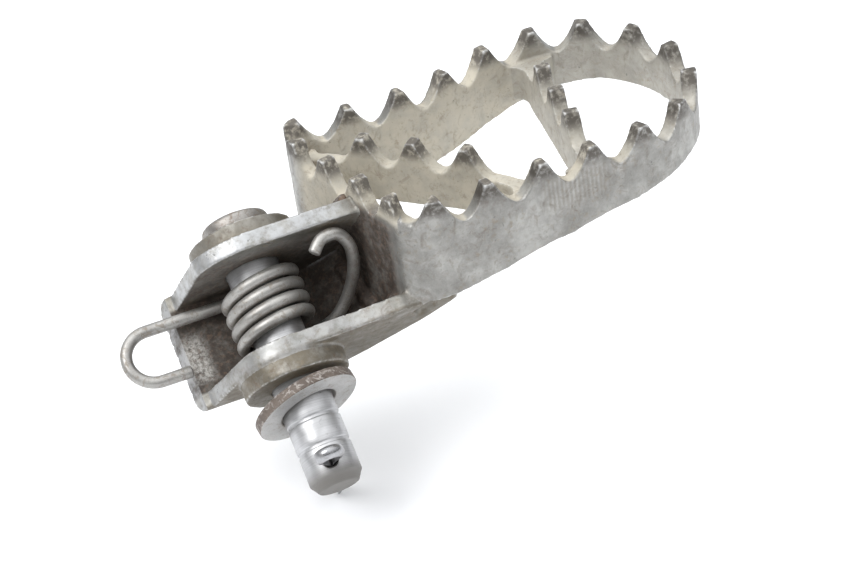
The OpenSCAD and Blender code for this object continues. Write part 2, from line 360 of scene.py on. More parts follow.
def peg_solids():
    """The solids that the skin goes over: the CAD's, with folds, a closed corner and welds."""
    solids = {node: cad_copy(node) for node, _, _ in CUT_ORDER if node not in WELDS}
    solids[RIM] = cad_copy(RIM)
    for way in (-1, 1):
        cutter = fold_cutter(way)
        combine(solids["pivot_bracket"], cutter, "DIFFERENCE")
        remove(cutter)
    post = rod("post", CORNER_R, CORNER_FOOT_Z, CORNER_TOP_Z, Vector((*NEAR_CORNER, 0)) * MM,
               Vector((0, 0, 1)), 32)
    combine(solids["end_wall"], post, "UNION")
    remove(post)
    for k, node in enumerate(WELDS):
        solids[node] = weld_solid(node, 20 + k)
    return solids


def peg_skin(solids):
    """One rounded and slightly uneven skin over all the solids."""
    skin = duplicate(solids[RIM], "skin")
    for node, _, _ in CUT_ORDER:
        combine(skin, solids[node], "UNION")
    rounded(skin, VOXEL, 5)
    soften(skin, [(*NEAR_CORNER, 6)], passes=24, top=TOOTH_ROOT_Z)
    soften(skin, [(*FAR_CORNER, 9)], passes=110, top=TOOTH_ROOT_Z)
    bars = [(x, y, 9) for bar in BARS for x, y in bar_ends(bar)]
    soften(skin, bars, passes=40, top=BAR_ROOT_Z)
    return cast_skin(skin, 3)


def peg_pieces():
    """One rounded skin over the whole peg, cut apart again just outside each joint."""
    solids = peg_solids()
    skin = peg_skin(solids)
    ridges = Ridges(skin)
    bore = rod("bore", BORE_R, -25, 25, Vector(), V, 96)
    combine(skin, bore, "DIFFERENCE")
    remove(bore)
    thick = {}
    for node in (RIM, "end_wall", "pivot_bracket"):
        thick[node] = duplicate(solids[node], "thick_" + node)
        swell(rounded(thick[node], CELL_VOXEL, 1), STOP_GAP)
    made = {}
    for node, reach, stops in CUT_ORDER:
        cell = duplicate(solids[node], "cell")
        swell(rounded(cell, CELL_VOXEL, 1), reach)
        for stop in stops:
            combine(cell, thick[stop], "DIFFERENCE")
        piece = duplicate(skin, node + "_cast")
        combine(piece, cell, "INTERSECT")
        combine(skin, cell, "DIFFERENCE")
        made[node] = piece
        remove(cell)
    skin.name = RIM + "_cast"
    made[RIM] = skin
    remove(*thick.values(), *solids.values())
    for piece in made.values():
        shade(piece, 38)
        ridges.carry_to(piece)
    return made


def paint(obj, masks):
    """Stores each mask on the piece, for its material to read."""
    for name, values in masks.items():
        attribute = obj.data.attributes.new(name, "FLOAT", "POINT")
        attribute.data.foreach_set("value", np.clip(values, 0, 1).astype(np.float32))


def spot(co, centre_point, size):
    """1 at a point, fading to 0 at size millimetres from it."""
    return near(np.linalg.norm(co - np.array(centre_point), axis=1) / MM, size * 0.35, size * 0.65)


class PegPoints:
    """The points of one piece of the peg, in every frame that its masks need."""

    def __init__(self, obj):
        self.co = points_of(obj)
        self.normal = normals_of(obj)
        self.x, self.y, self.z = (self.co / MM).T
        self.v = self.co @ np.array(V) / MM
        self.w = self.co @ np.array(W) / MM
        self.facing_u = self.normal @ np.array(U)
        self.facing_w = self.normal @ np.array(W)

    def away_from(self, corner):
        """Distance from an upright corner, in millimetres."""
        return np.hypot(self.x - corner[0], self.y - corner[1])


def channel_soil_and_shade(at):
    """Brown soil and painted shade on the faces inside the bracket's channel."""
    between_ears = near(np.abs(at.v), INNER_V - 0.2, 0.7)
    return between_ears * near(at.w, 8, 6) * near(at.x, 27, 3) * near(-at.facing_w, 0.2, 0.3)


def wall_soil_and_shade(at):
    """The same soil and painted shade on the part of the end wall that closes the channel."""
    between_ears = near(at.v, EAR_V, 2) * near(at.facing_u, 0.2, 0.4)
    return between_ears * near(at.z, TIP_Z - 7.5, 3) * near(-at.y, 11.5, 4)


def rim_inside(at):
    """1 on the faces of the rim that look into the tread, weaker towards the outer end."""
    middle = sum(np.array(p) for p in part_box(RIM)) / 2
    to_middle = (middle - at.co)[:, :2]
    reach = np.maximum(np.linalg.norm(to_middle, axis=1), 1e-6)
    inward = (to_middle * at.normal[:, :2]).sum(1) / reach
    return near(-inward, 0, 0.3) * (1 - 0.6 * near(-at.x, -88, 16))


def rim_marks(at):
    """The patch of fine upright marks on the outside of the rim's near side."""
    along = near(np.abs(at.x - 68), 6, 4) * near(at.y, -11, 3)
    return along * (at.normal[:, 1] < -0.3) * near(np.abs(at.z - 17.5), 2.5, 2.5)


def bare_edge_highlights(at, nose_x):
    """Bare metal and a painted highlight on the bracket's edges: the rims of its ears, and its nose."""
    sideways = np.hypot(at.facing_u, at.facing_w)
    ears = near(-np.abs(at.v), -INNER_V + 0.2, 0.6) * near(-sideways, -0.75, 0.2)
    ears = ears * near(-at.w, 8.5, 1.5) * near(at.x, 15, 9)
    nose = near(at.facing_u, -0.7, 0.2) * near(at.x, nose_x + 6, 2)
    return np.maximum(ears * (1 - 0.45 * (at.v < 0)), nose * 0.8)


def nose_scuff(at, nose_x):
    """Where the frame has rubbed the web, just inside the nose."""
    place = near(np.abs(at.v + 3), 3, 6) * near(np.abs(at.x - nose_x - 3.6), 0.8, 3.4)
    return place * near(np.abs(at.w - UNDER_W - PLATE), 1, 1) * near(np.abs(at.v), 7.5, 1)


def peg_masks(node, obj):
    """Dirt, wear, heat, scuffs and painted shade and highlight on the peg, one value per point."""
    at = PegPoints(obj)
    none = np.zeros(len(at.co))
    masks = dict.fromkeys(("soil_and_shade", "bare_edge_highlight", "cream", "tip", "heat", "scuff", "hatch", "stain"), none)
    bracket = node == "pivot_bracket"
    corner = near(at.away_from(NEAR_CORNER), 3, 5) * near(at.z, TIP_Z - 7, 3)
    if bracket or node in WELDS:
        masks["soil_and_shade"] = channel_soil_and_shade(at)
    if node == "end_wall":
        masks["soil_and_shade"] = wall_soil_and_shade(at)
        # The pale film covers the wall but not its soil and painted shade, the near corner and, outside, the far
        # one
        outside = at.normal[:, 0] < 0
        far_fade = near(at.y, WALL_HIGH.y - 6, 5) * outside + ~outside
        masks["cream"] = (1 - masks["soil_and_shade"]) * (1 - corner) * far_fade
    if node in WALLS or node in BARS:
        masks["tip"] = near(-at.z, -TIP_Z + 1.8, 3.4)
    if node in BARS:
        masks["cream"] = none + (0.9 if node == "diagonal_brace" else 0.55)
    if node == RIM:
        masks["cream"] = rim_inside(at)
        masks["hatch"] = rim_marks(at)
    if bracket:
        nose_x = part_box(node)[0].x / MM
        masks["bare_edge_highlight"] = bare_edge_highlights(at, nose_x)
        masks["scuff"] = nose_scuff(at, nose_x)
    if bracket or node in BOSSES:
        masks["stain"] = near(-np.abs(at.v), -EAR_V + 0.6, 0.5) * np.where(at.v > 0, 0.45, 0.85)
    # Welding has tinted the near corner and the ears beside their beads
    masks["heat"] = np.maximum.reduce([corner, spot(at.co, row(27, -INNER_V - 2, 8), 12),
                                       spot(at.co, row(24, EAR_V, 6), 8),
                                       spot(at.co, row(23, EAR_V - 2, 15), 6)])
    return masks


# ---------------------------------------------------------------- round pieces

def lathe(name, profile, origin, axis, segments=96):
    """Turns a closed profile of (radius, height) millimetres about an axis through origin."""
    side = axis.orthogonal().normalized()
    other = axis.cross(side)
    points = []
    for k in range(segments):
        a = 2 * math.pi * k / segments
        out = side * math.cos(a) + other * math.sin(a)
        points += [origin + out * r * MM + axis * h * MM for r, h in profile]
    n = len(profile)
    faces = []
    for k in range(segments):
        k2 = (k + 1) % segments
        for i in range(n):
            j = (i + 1) % n
            faces.append((k * n + i, k * n + j, k2 * n + j, k2 * n + i))
    return from_lists(name, points, faces)


def spindle(name, profile, origin, axis, segments=96):
    """Like lathe, for a solid whose open profile starts and ends on the axis."""
    side = axis.orthogonal().normalized()
    other = axis.cross(side)
    inner = profile[1:-1]
    n = len(inner)
    points = []
    for k in range(segments):
        a = 2 * math.pi * k / segments
        out = side * math.cos(a) + other * math.sin(a)
        points += [origin + out * r * MM + axis * h * MM for r, h in inner]
    first = len(points)
    points += [origin + axis * profile[0][1] * MM, origin + axis * profile[-1][1] * MM]
    faces = []
    for k in range(segments):
        k2 = (k + 1) % segments
        for i in range(n - 1):
            faces.append((k * n + i, k * n + i + 1, k2 * n + i + 1, k2 * n + i))
        faces.append((first, k * n, k2 * n))
        faces.append((first + 1, k2 * n + n - 1, k * n + n - 1))
    return from_lists(name, points, faces)


def arc(cx, cy, r, a0, a1, steps=5):
    """Points of an arc in a profile, angles in degrees."""
    angles = [math.radians(a0 + (a1 - a0) * k / steps) for k in range(steps + 1)]
    return [(cx + r * math.cos(a), cy + r * math.sin(a)) for a in angles]


def ring_profile(r_in, r_out, h0, h1, edge):
    """A ring's profile with rounded edges."""
    e = min(edge, (h1 - h0) / 2 - 0.01, (r_out - r_in) / 2 - 0.01)
    return (arc(r_out - e, h0 + e, e, -90, 0) + arc(r_out - e, h1 - e, e, 0, 90)
            + arc(r_in + e, h1 - e, e, 90, 180) + arc(r_in + e, h0 + e, e, 180, 270))


def split_by(profile, step=1.2):
    """Adds points along the long straight runs of a profile."""
    out = []
    for (r0, h0), (r1, h1) in zip(profile, profile[1:]):
        n = max(1, int(math.hypot(r1 - r0, h1 - h0) / step))
        out += [(r0 + (r1 - r0) * k / n, h0 + (h1 - h0) * k / n) for k in range(n)]
    return out + [profile[-1]]


# The pin's sizes, and where its cross hole is along it, in millimetres
PIN_R = 6.0
HEAD_R = 7.75
HEAD_T = 3.5
PIN_END, PIN_TOP = along_axis("pivot_pin", V)
CROSS_V = PIN_END + 5.3
CROSS_R = 1.8
CROSS_AXIS = Vector(JOINTS["cotter_pull"]["axis"])
# Half of a worn groove round the pin, as (distance from its middle, depth)
GROOVE = [(0.62, 0), (0.45, 0.06), (0.3, 0.24)]
GROOVE_DEPTH = 0.27


def groove_profile(middle):
    """A groove round the pin, from its upper side to its lower side."""
    upper = [(PIN_R - depth, middle + off) for off, depth in GROOVE]
    lower = [(PIN_R - depth, middle - off) for off, depth in reversed(GROOVE)]
    return upper + [(PIN_R - GROOVE_DEPTH, middle)] + lower


def cross_drill():
    """The drill for the cross hole, wider outside the pin so that the hole's rims are dished."""
    wide = CROSS_R + 1.7
    dish_out, dish_in, end = PIN_R + 0.3 + 1.2, PIN_R - 0.45, 12
    profile = [(0, -end), (wide, -end), (wide, -dish_out), (CROSS_R, -dish_in),
               (CROSS_R, dish_in), (wide, dish_out), (wide, end), (0, end)]
    return spindle("drill", profile, V * CROSS_V * MM, CROSS_AXIS, 48)


def pin_piece():
    """The headed pin: domed head, two worn grooves, chamfered end and cross hole."""
    under = PIN_TOP - HEAD_T
    profile = [(0, PIN_TOP)]
    profile += [(2.5, PIN_TOP - 0.02)] + arc(HEAD_R - 1.3, PIN_TOP - 1.3, 1.3, 90, 0, 7)
    profile += arc(HEAD_R - 0.4, under + 0.4, 0.4, 0, -90, 4)
    profile += [(PIN_R + 0.35, under), (PIN_R, under - 0.35)]
    profile += groove_profile(CROSS_V + 10)
    profile += groove_profile(CROSS_V + 3.8)
    profile += arc(PIN_R - 0.6, PIN_END + 2.3, 0.6, 0, -60, 4)
    profile += arc(PIN_R - 1.75, PIN_END + 0.55, 0.55, -30, -90, 4)
    profile += [(0, PIN_END)]
    pin = spindle("pivot_pin_turned", split_by(profile), Vector(), V, 128)
    drill = cross_drill()
    combine(pin, drill, "DIFFERENCE")
    remove(drill)
    return shade(pin, 35)


def washer_frame():
    """Centre and axis of the tilted washer, from its CAD solid."""
    co = points_of(frame["nodes"]["washer"])
    middle = (co.min(0) + co.max(0)) / 2
    axis = Vector(np.linalg.eigh(np.cov((co - middle).T))[1][:, 0])
    return Vector(middle), axis if axis.dot(V) > 0 else -axis


def washer_piece():
    """A ring with rounded edges, as large as the CAD washer and tilted as it is."""
    middle, axis = washer_frame()
    co = [Vector(p) - middle for p in points_of(frame["nodes"]["washer"])]
    flat = [axis.dot(p) / MM for p in co]
    reach = [p.cross(axis).length / MM for p in co]
    ring = lathe("washer_stamped",
                 ring_profile(min(reach), max(reach), min(flat), max(flat), 0.3),
                 middle, axis, 128)
    return shade(ring, 50)


# ---------------------------------------------------------------- wires

def catmull(p, steps):
    """A smooth curve through the points p."""
    out = []
    for i in range(len(p) - 1):
        a, b, c, d = (Vector(p[max(0, min(len(p) - 1, k))]) for k in (i - 1, i, i + 1, i + 2))
        for k in range(steps):
            t = k / steps
            out.append(0.5 * (2 * b + (c - a) * t + (2 * a - 5 * b + 4 * c - d) * t * t
                              + (3 * b - a - 3 * c + d) * t ** 3))
    return out + [Vector(p[-1])]


def sweep(name, path, outline, first_side, round_ends=0):
    """Closed tube along a path in the row frame, in metres. outline is (side, up) pairs in mm."""
    n, m = len(path), len(outline)
    dirs = [(path[min(n - 1, i + 1)] - path[max(0, i - 1)]).normalized() for i in range(n)]
    side = first_side
    rings = []
    for p, d in zip(path, dirs):
        side = (side - d * side.dot(d)).normalized()
        rings.append((p, side.copy(), d.cross(side), 1.0))
    if round_ends:
        caps = [(math.cos(t), math.sin(t)) for t in (math.radians(18 * k) for k in range(1, 5))]
        head, tail = rings[0], rings[-1]
        rings = ([(head[0] - dirs[0] * round_ends * MM * s, head[1], head[2], c)
                  for c, s in reversed(caps)] + rings
                 + [(tail[0] + dirs[-1] * round_ends * MM * s, tail[1], tail[2], c)
                    for c, s in caps])
    points = [p + (u * a + w * b) * scale * MM for p, u, w, scale in rings for a, b in outline]
    faces = [(i * m + k, i * m + (k + 1) % m, (i + 1) * m + (k + 1) % m, (i + 1) * m + k)
             for i in range(len(rings) - 1) for k in range(m)]
    faces += [tuple(range(m)), tuple(range((len(rings) - 1) * m, len(rings) * m))]
    return from_lists(name, points, faces)


# The spring, as in the CAD: wire, coil, the first and last place of the coil along the pin
WIRE_D = 2.8
COIL_R = 8.2
TURNS = 4
PITCH = 3.3
COIL_V = 6.85
COIL_END_V = COIL_V - TURNS * PITCH
SLANT = 0.07
LOOP_U = -26
LOOP_R = 6
# Centre line of the hook from the coil's end, as (u, v, w)
HOOK = [(0, COIL_END_V, -COIL_R), (8, COIL_END_V + 0.2, -COIL_R + 0.3), (15, -4.8, -4.2),
        (19.6, 0, 2.5), (20.4, 4.6, 8.6), (18, 7.6, 12.6), (14, 7.5, 13.6), (11.4, 5.2, 13.2)]


def circle_outline(r, sides):
    return [(r * math.cos(2 * math.pi * k / sides), r * math.sin(2 * math.pi * k / sides))
            for k in range(sides)]


def loop_points(steps=24):
    """The loop over the frame's bracket: a short end, a half turn and the leg to the coil."""
    points = [(-19.5, COIL_V - 2 * LOOP_R, -COIL_R)]
    for k in range(steps + 1):
        a = math.radians(-90 - 180 * k / steps)
        points.append((LOOP_U + LOOP_R * math.cos(a), COIL_V - LOOP_R + LOOP_R * math.sin(a),
                       -COIL_R))
    return points + [(-12, COIL_V, -COIL_R)]


def coil_points(per_turn=48):
    """The coil's turns, each slanting a little across the pin."""
    points = []
    for k in range(per_turn * TURNS + 1):
        a = math.radians(-90 + 360 * k / per_turn)
        u = COIL_R * math.cos(a)
        points.append((u, COIL_V - PITCH * k / per_turn + SLANT * u, COIL_R * math.sin(a)))
    return points


def spring_path():
    """Centre line of the spring: loop, coil and hook, in the row frame."""
    tail = [p for p in catmull(HOOK, 9) if p[0] > 3]
    return [row(*p) for p in loop_points() + coil_points() + tail]


def spring_piece():
    spring = sweep("return_spring_wire", spring_path(), circle_outline(WIRE_D / 2, 18), W,
                   round_ends=0.5)
    return shade(spring, 60)


# The cotter pin: its eye, its half-round wire and half the gap between its legs
EYE_R = 1.95
EYE_UP = PIN_R + 3.75
HALF_WIRE_R = 1.45
LEG_OFF = 0.12


def cotter_path():
    """Up one leg, round the eye and down the other, as (sideways, along the cotter)."""
    foot, _ = along_axis("cotter_pin", CROSS_AXIS)
    neck = EYE_UP - 2.2
    left = [(-LEG_OFF - 0.25, foot + 2.5), (-LEG_OFF - 0.1, foot + 12), (-LEG_OFF, -6),
            (-LEG_OFF, 0), (-LEG_OFF, 5.2), (-0.75, neck)]
    turn = [math.radians(a) for a in range(-60, -301, -24)]
    eye = [(EYE_R * math.sin(a), EYE_UP + 0.1 - EYE_R * math.cos(a)) for a in turn]
    right = [(0.75, neck), (LEG_OFF, 5.2), (LEG_OFF, 0), (LEG_OFF, -6), (LEG_OFF + 0.1, foot + 9),
             (LEG_OFF + 0.25, foot)]
    return left + eye + right


def cotter_piece():
    """Half-round wire bent double, its flat side inwards."""
    side = V.cross(CROSS_AXIS).normalized()
    if side.dot(U) < 0:
        side = -side
    centre = V * CROSS_V * MM
    points = [centre + (side * s + CROSS_AXIS * up) * MM for s, up in cotter_path()]
    outline = [(HALF_WIRE_R * math.sin(a), HALF_WIRE_R * math.cos(a))
               for a in (math.radians(15 * k) for k in range(13))]
    cotter = sweep("cotter_pin_wire", catmull(points, 5), outline, -side)
    return shade(cotter, 45)


# ---------------------------------------------------------------- build

pieces = {}
for node, piece in peg_pieces().items():
    paint(piece, peg_masks(node, piece))
    pieces[node] = piece
pieces["pivot_pin"] = pin_piece()
pieces["washer"] = washer_piece()
pieces["cotter_pin"] = cotter_piece()
pieces["return_spring"] = spring_piece()

BODY = {n: b for b, members in frame["record"]["behaviour"]["bodies"].items() for n in members}
SLOT = {s["node"]: s["material_slot"] for s in frame["record"]["subparts"]}
for node, piece in pieces.items():
    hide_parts(node)
    if node == "return_spring":
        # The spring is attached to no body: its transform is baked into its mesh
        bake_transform(piece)
    else:
        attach(piece, BODY[node])

# ---------------------------------------------------------------- materials

def node_of(tree, kind, inputs=None, **props):
    """A new node. inputs are linked where they are sockets, and set where they are values."""
    n = tree.nodes.new(kind)
    for key, value in props.items():
        setattr(n, key, value)
    for key, value in (inputs or {}).items():
        if isinstance(value, bpy.types.NodeSocket):
            tree.links.new(value, n.inputs[key])
        else:
            n.inputs[key].default_value = value
    return n


class Look:
    """Small helper that builds one material's node tree, with sizes in millimetres."""

    def __init__(self, name):
        self.material = bpy.data.materials.new(name)
        self.material.use_nodes = True
        self.tree = self.material.node_tree
        self.shader = self.tree.nodes["Principled BSDF"]
        coords = node_of(self.tree, "ShaderNodeTexCoord")
        self.mm = node_of(self.tree, "ShaderNodeVectorMath",
                          {0: coords.outputs["Object"], 3: 1 / MM}, operation="SCALE").outputs[0]

    def noise(self, size, detail=3.0, roughness=0.55, shift=0.0, stretch=(1, 1, 1), distortion=0.0):
        where = node_of(self.tree, "ShaderNodeMapping",
                        {"Vector": self.mm, "Location": (shift, shift * 1.7, -shift),
                         "Scale": tuple(stretch)}).outputs[0]
        return node_of(self.tree, "ShaderNodeTexNoise",
                       {"Vector": where, "Scale": 1 / size, "Detail": detail,
                        "Roughness": roughness, "Distortion": distortion}).outputs["Fac"]

    def mask(self, name):
        return node_of(self.tree, "ShaderNodeAttribute", attribute_name=name).outputs["Fac"]

    def patchy(self, mask, size, detail, roughness, shift, low, high, least, most):
        """A painted mask, broken up by noise between its least and its most strength."""
        broken = self.step(self.noise(size, detail, roughness, shift), low, high, least, most)
        return self.times(self.mask(mask), broken)

    def step(self, value, low, high, a=0.0, b=1.0):
        """Smooth change from a, at low, to b, at high."""
        return node_of(self.tree, "ShaderNodeMapRange",
                       {"Value": value, "From Min": low, "From Max": high, "To Min": a, "To Max": b},
                       interpolation_type="SMOOTHSTEP").outputs["Result"]

    def math(self, operation, a, b=0.5, clamp=False):
        return node_of(self.tree, "ShaderNodeMath", {0: a, 1: b}, operation=operation,
                       use_clamp=clamp).outputs[0]

    def times(self, a, b):
        return self.math("MULTIPLY", a, b, True)

    def mix(self, factor, a, b):
        n = node_of(self.tree, "ShaderNodeMix", data_type="RGBA")
        for socket, value in ((n.inputs[0], factor), (n.inputs[6], a), (n.inputs[7], b)):
            if isinstance(value, bpy.types.NodeSocket):
                self.tree.links.new(value, socket)
            elif isinstance(value, tuple):
                socket.default_value = (*value, 1)
            else:
                socket.default_value = value
        return n.outputs[2]

    def occlusion(self, distance, samples=8):
        return node_of(self.tree, "ShaderNodeAmbientOcclusion", {"Distance": distance * MM},
                       samples=samples, only_local=False).outputs["AO"]

    def bump(self, height, distance, strength=1.0, normal=None):
        inputs = {"Height": height, "Distance": distance * MM, "Strength": strength}
        if normal is not None:
            inputs["Normal"] = normal
        return node_of(self.tree, "ShaderNodeBump", inputs).outputs[0]

    def finish(self, colour, roughness, metallic, normal):
        for key, value in (("Base Color", colour), ("Roughness", roughness),
                           ("Metallic", metallic), ("Normal", normal)):
            if isinstance(value, bpy.types.NodeSocket):
                self.tree.links.new(value, self.shader.inputs[key])
            else:
                self.shader.inputs[key].default_value = value
        return self.material


RUST = (0.10, 0.055, 0.03)
PALE_FILM = (0.50, 0.46, 0.375)
HEAT_TINT = (0.115, 0.122, 0.132)
OLD_STAIN = (0.125, 0.105, 0.075)
SOIL_AND_SHADE_DARK = (0.052, 0.04, 0.032)
SOIL_AND_SHADE_BROWN = (0.11, 0.075, 0.055)
BARE_SCUFF = (0.46, 0.445, 0.415)
BARE_EDGE_HIGHLIGHT = (0.40, 0.405, 0.41)
DARK_TIP = (0.075, 0.065, 0.055)


def darker(colour, share):
    return tuple(c * share for c in colour)


def forged_base(k, dark, light, shift):
    """Mottled grey, in patches from half a millimetre to ten, and the two finer noises."""
    broad = k.noise(9, 4, 0.6, shift)
    blotch = k.noise(2.2, 5, 0.65, shift + 5, distortion=0.6)
    grain = k.noise(0.35, 3, 0.6, shift + 9)
    tone = tuple(0.5 * (a + b) for a, b in zip(dark, light))
    colour = k.mix(k.step(broad, 0.35, 0.65), dark, light)
    colour = k.mix(k.step(blotch, 0.42, 0.62, 0, 0.28), colour, darker(tone, 0.68))
    bright = tuple(min(1, c * 1.5) for c in tone)
    colour = k.mix(k.step(grain, 0.45, 0.75, 0, 0.18), colour, bright)
    return colour, blotch, grain


def weathered_steel(name, dark, light, dirt_and_shade, dirt_and_shade_amount, edge, shift=0.0, rust_amount=0.3):
    """Old forged steel: mottled grey, dirt in patches, painted shade in hollows, worn bright edges, pits."""
    k = Look(name)
    colour, blotch, grain = forged_base(k, dark, light, shift)
    speck = k.step(k.noise(1.0, 4, 0.7, shift + 17), 0.48, 0.64)

    # Film, heat tint, streaks and stains lie under the dirt and the painted shade
    cream = k.patchy("cream", 4, 5, 0.65, shift + 41, 0.25, 0.65, 0.55, 0.92)
    colour = k.mix(cream, colour, PALE_FILM)
    heat = k.patchy("heat", 2.5, 4, 0.6, shift + 43, 0.35, 0.6, 0.55, 1.0)
    colour = k.mix(heat, colour, HEAT_TINT)
    streak = k.step(k.noise(2.2, 5, 0.7, shift + 47, (1, 1, 0.45), 0.8), 0.55, 0.72, 0, 0.4)
    colour = k.mix(streak, colour, darker(dirt_and_shade, 0.55))
    stain = k.patchy("stain", 3.5, 5, 0.7, shift + 71, 0.3, 0.6, 0.35, 1)
    colour = k.mix(stain, colour, OLD_STAIN)

    # Dirt in patches and painted shade in hollows, then rust, then soil and painted shade in the bracket
    # Painted shade: occlusion darkens the hollows towards the dirt colour, besides real dirt in patches
    shade_in_hollows = k.step(k.occlusion(5), 0.85, 0.4)
    patch = k.step(k.noise(5, 5, 0.7, shift + 13, distortion=1.2), 0.47, 0.66)
    dirt_and_shade_mask = k.math("ADD", k.times(patch, speck), k.times(shade_in_hollows, 0.8), True)
    dirt_and_shade_mask = k.times(dirt_and_shade_mask, dirt_and_shade_amount)
    colour = k.mix(dirt_and_shade_mask, colour, dirt_and_shade)
    rusty = k.step(k.noise(3.2, 6, 0.75, shift + 23, distortion=1.0), 0.52, 0.68)
    rust_mask = k.times(rusty, rust_amount)
    colour = k.mix(rust_mask, colour, RUST)
    # Painted shade, partly real soil: the inside of the bracket's channel goes dark brown
    soil_and_shade = k.patchy("soil_and_shade", 3, 5, 0.7, shift + 53, 0.25, 0.6, 0.55, 1.0)
    colour = k.mix(soil_and_shade, colour, k.mix(speck, SOIL_AND_SHADE_DARK, SOIL_AND_SHADE_BROWN))

    # Fine marks on the rim, what wear has laid bare or darkened, and painted highlight on the bracket's rims
    lines = node_of(k.tree, "ShaderNodeTexWave",
                    {"Vector": k.mm, "Scale": 0.3, "Distortion": 1.5, "Detail": 2.0,
                     "Detail Scale": 2.0}, wave_type="BANDS", bands_direction="X").outputs["Fac"]
    hatch = k.times(lines, k.mask("hatch"))
    colour = k.mix(k.times(hatch, 0.3), colour, darker(dirt_and_shade, 0.6))
    scuff = k.patchy("scuff", 0.8, 5, 0.75, shift + 59, 0.36, 0.64, 0.1, 0.95)
    colour = k.mix(scuff, colour, BARE_SCUFF)
    # Painted highlight, partly bare metal: the rims of the bracket's ears and its nose are lightened
    bare_edge_highlight = k.patchy("bare_edge_highlight", 2.6, 5, 0.7, shift + 61, 0.3, 0.62, 0.1, 0.95)
    colour = k.mix(bare_edge_highlight, colour, BARE_EDGE_HIGHLIGHT)
    tip = k.patchy("tip", 1.4, 4, 0.6, shift + 67, 0.3, 0.55, 0.2, 0.9)
    colour = k.mix(tip, colour, DARK_TIP)
    ridge = k.step(k.mask("ridge"), 0.06, 0.20)
    wear = k.times(ridge, k.step(k.noise(1.8, 4, 0.6, shift + 31), 0.35, 0.6))
    colour = k.mix(wear, colour, edge)
    pits = k.step(k.noise(1.1, 3, 0.6, shift + 37), 0.27, 0.36)
    colour = k.mix(k.step(pits, 0.6, 0.0, 0, 0.5), colour, darker(dark, 0.4))

    # Grime and painted shade are rough and hide the metal, and worn places are smoother
    covered = k.math("MAXIMUM", soil_and_shade, cream)
    grime_and_shade = k.math("ADD", k.math("ADD", dirt_and_shade_mask, rust_mask), covered, True)
    rough = k.math("ADD", k.step(blotch, 0.3, 0.7, 0.4, 0.56), k.times(grime_and_shade, 0.3))
    rough = k.math("SUBTRACT", rough, k.times(k.math("MAXIMUM", wear, bare_edge_highlight), 0.15))
    metal = k.step(grime_and_shade, 0.0, 0.9, 0.7, 0.1)
    normal = k.bump(hatch, 0.09, 0.5)
    normal = k.bump(pits, 0.06, 0.5, normal)
    normal = k.bump(grain, 0.03, 0.5, normal)
    normal = k.bump(blotch, 0.07, 0.5, normal)
    return k.finish(colour, rough, metal, normal)


def turned_steel(name, dark, light, axis, shift, stain, stain_and_shade_amount, rough=(0.22, 0.36),
                 metallic=0.95, stain_line=0.5, hollow_shade_amount=0.9, darkened_end=None):
    """Machined or drawn steel: fine lines across an axis, soft stains, painted shade in hollows, small nicks.

    stain_line is the noise level above which stains show, the shade amount is how strongly
    painted shade darkens the hollows towards the stain colour, and the end height, if given, is
    where along the axis an end is made darker."""
    k = Look(name)
    if axis is None:
        lines = k.noise(0.25, 4, 0.7, shift)
    else:
        height = node_of(k.tree, "ShaderNodeVectorMath", {0: k.mm, 1: tuple(axis)},
                         operation="DOT_PRODUCT").outputs["Value"]
        wander = k.math("ADD", height, k.times(k.noise(6, 2, 0.5, shift + 19), 0.6))
        lines = node_of(k.tree, "ShaderNodeTexNoise",
                        {"W": wander, "Scale": 3.2, "Detail": 5.0, "Roughness": 0.75},
                        noise_dimensions="1D").outputs["Fac"]
    broad = k.noise(5, 3, 0.5, shift + 3)
    colour = k.mix(k.step(broad, 0.3, 0.7), dark, light)
    colour = k.mix(k.step(lines, 0.42, 0.7, 0, 0.4), colour, darker(dark, 0.6))
    # Painted shade: occlusion darkens the hollows towards the stain colour
    hollow_shade = k.step(k.occlusion(3), 0.85, 0.35)
    stains_and_shade = k.step(k.noise(1.6, 5, 0.7, shift + 7, distortion=1.0), stain_line, stain_line + 0.14)
    stains_and_shade = k.math("ADD", k.times(hollow_shade, hollow_shade_amount), stains_and_shade, True)
    # Darker towards one end along the axis, with a ragged edge
    if darkened_end is not None:
        ragged_height = k.math("ADD", height, k.times(k.noise(3, 4, 0.6, shift + 23), 3.0))
        stains_and_shade = k.math("ADD", stains_and_shade, k.step(ragged_height, darkened_end + 6.5, darkened_end + 2.0), True)
    mask = k.times(stains_and_shade, stain_and_shade_amount)
    colour = k.mix(mask, colour, stain)
    rough_value = k.math("ADD", k.step(broad, 0.3, 0.7, *rough), k.times(mask, 0.25))
    metal = k.step(mask, 0.0, 1.0, metallic, 0.35)
    normal = k.bump(lines, 0.02, 0.4)
    normal = k.bump(k.noise(0.9, 3, 0.6, shift + 11), 0.05, 0.3, normal)
    return k.finish(colour, rough_value, metal, normal)


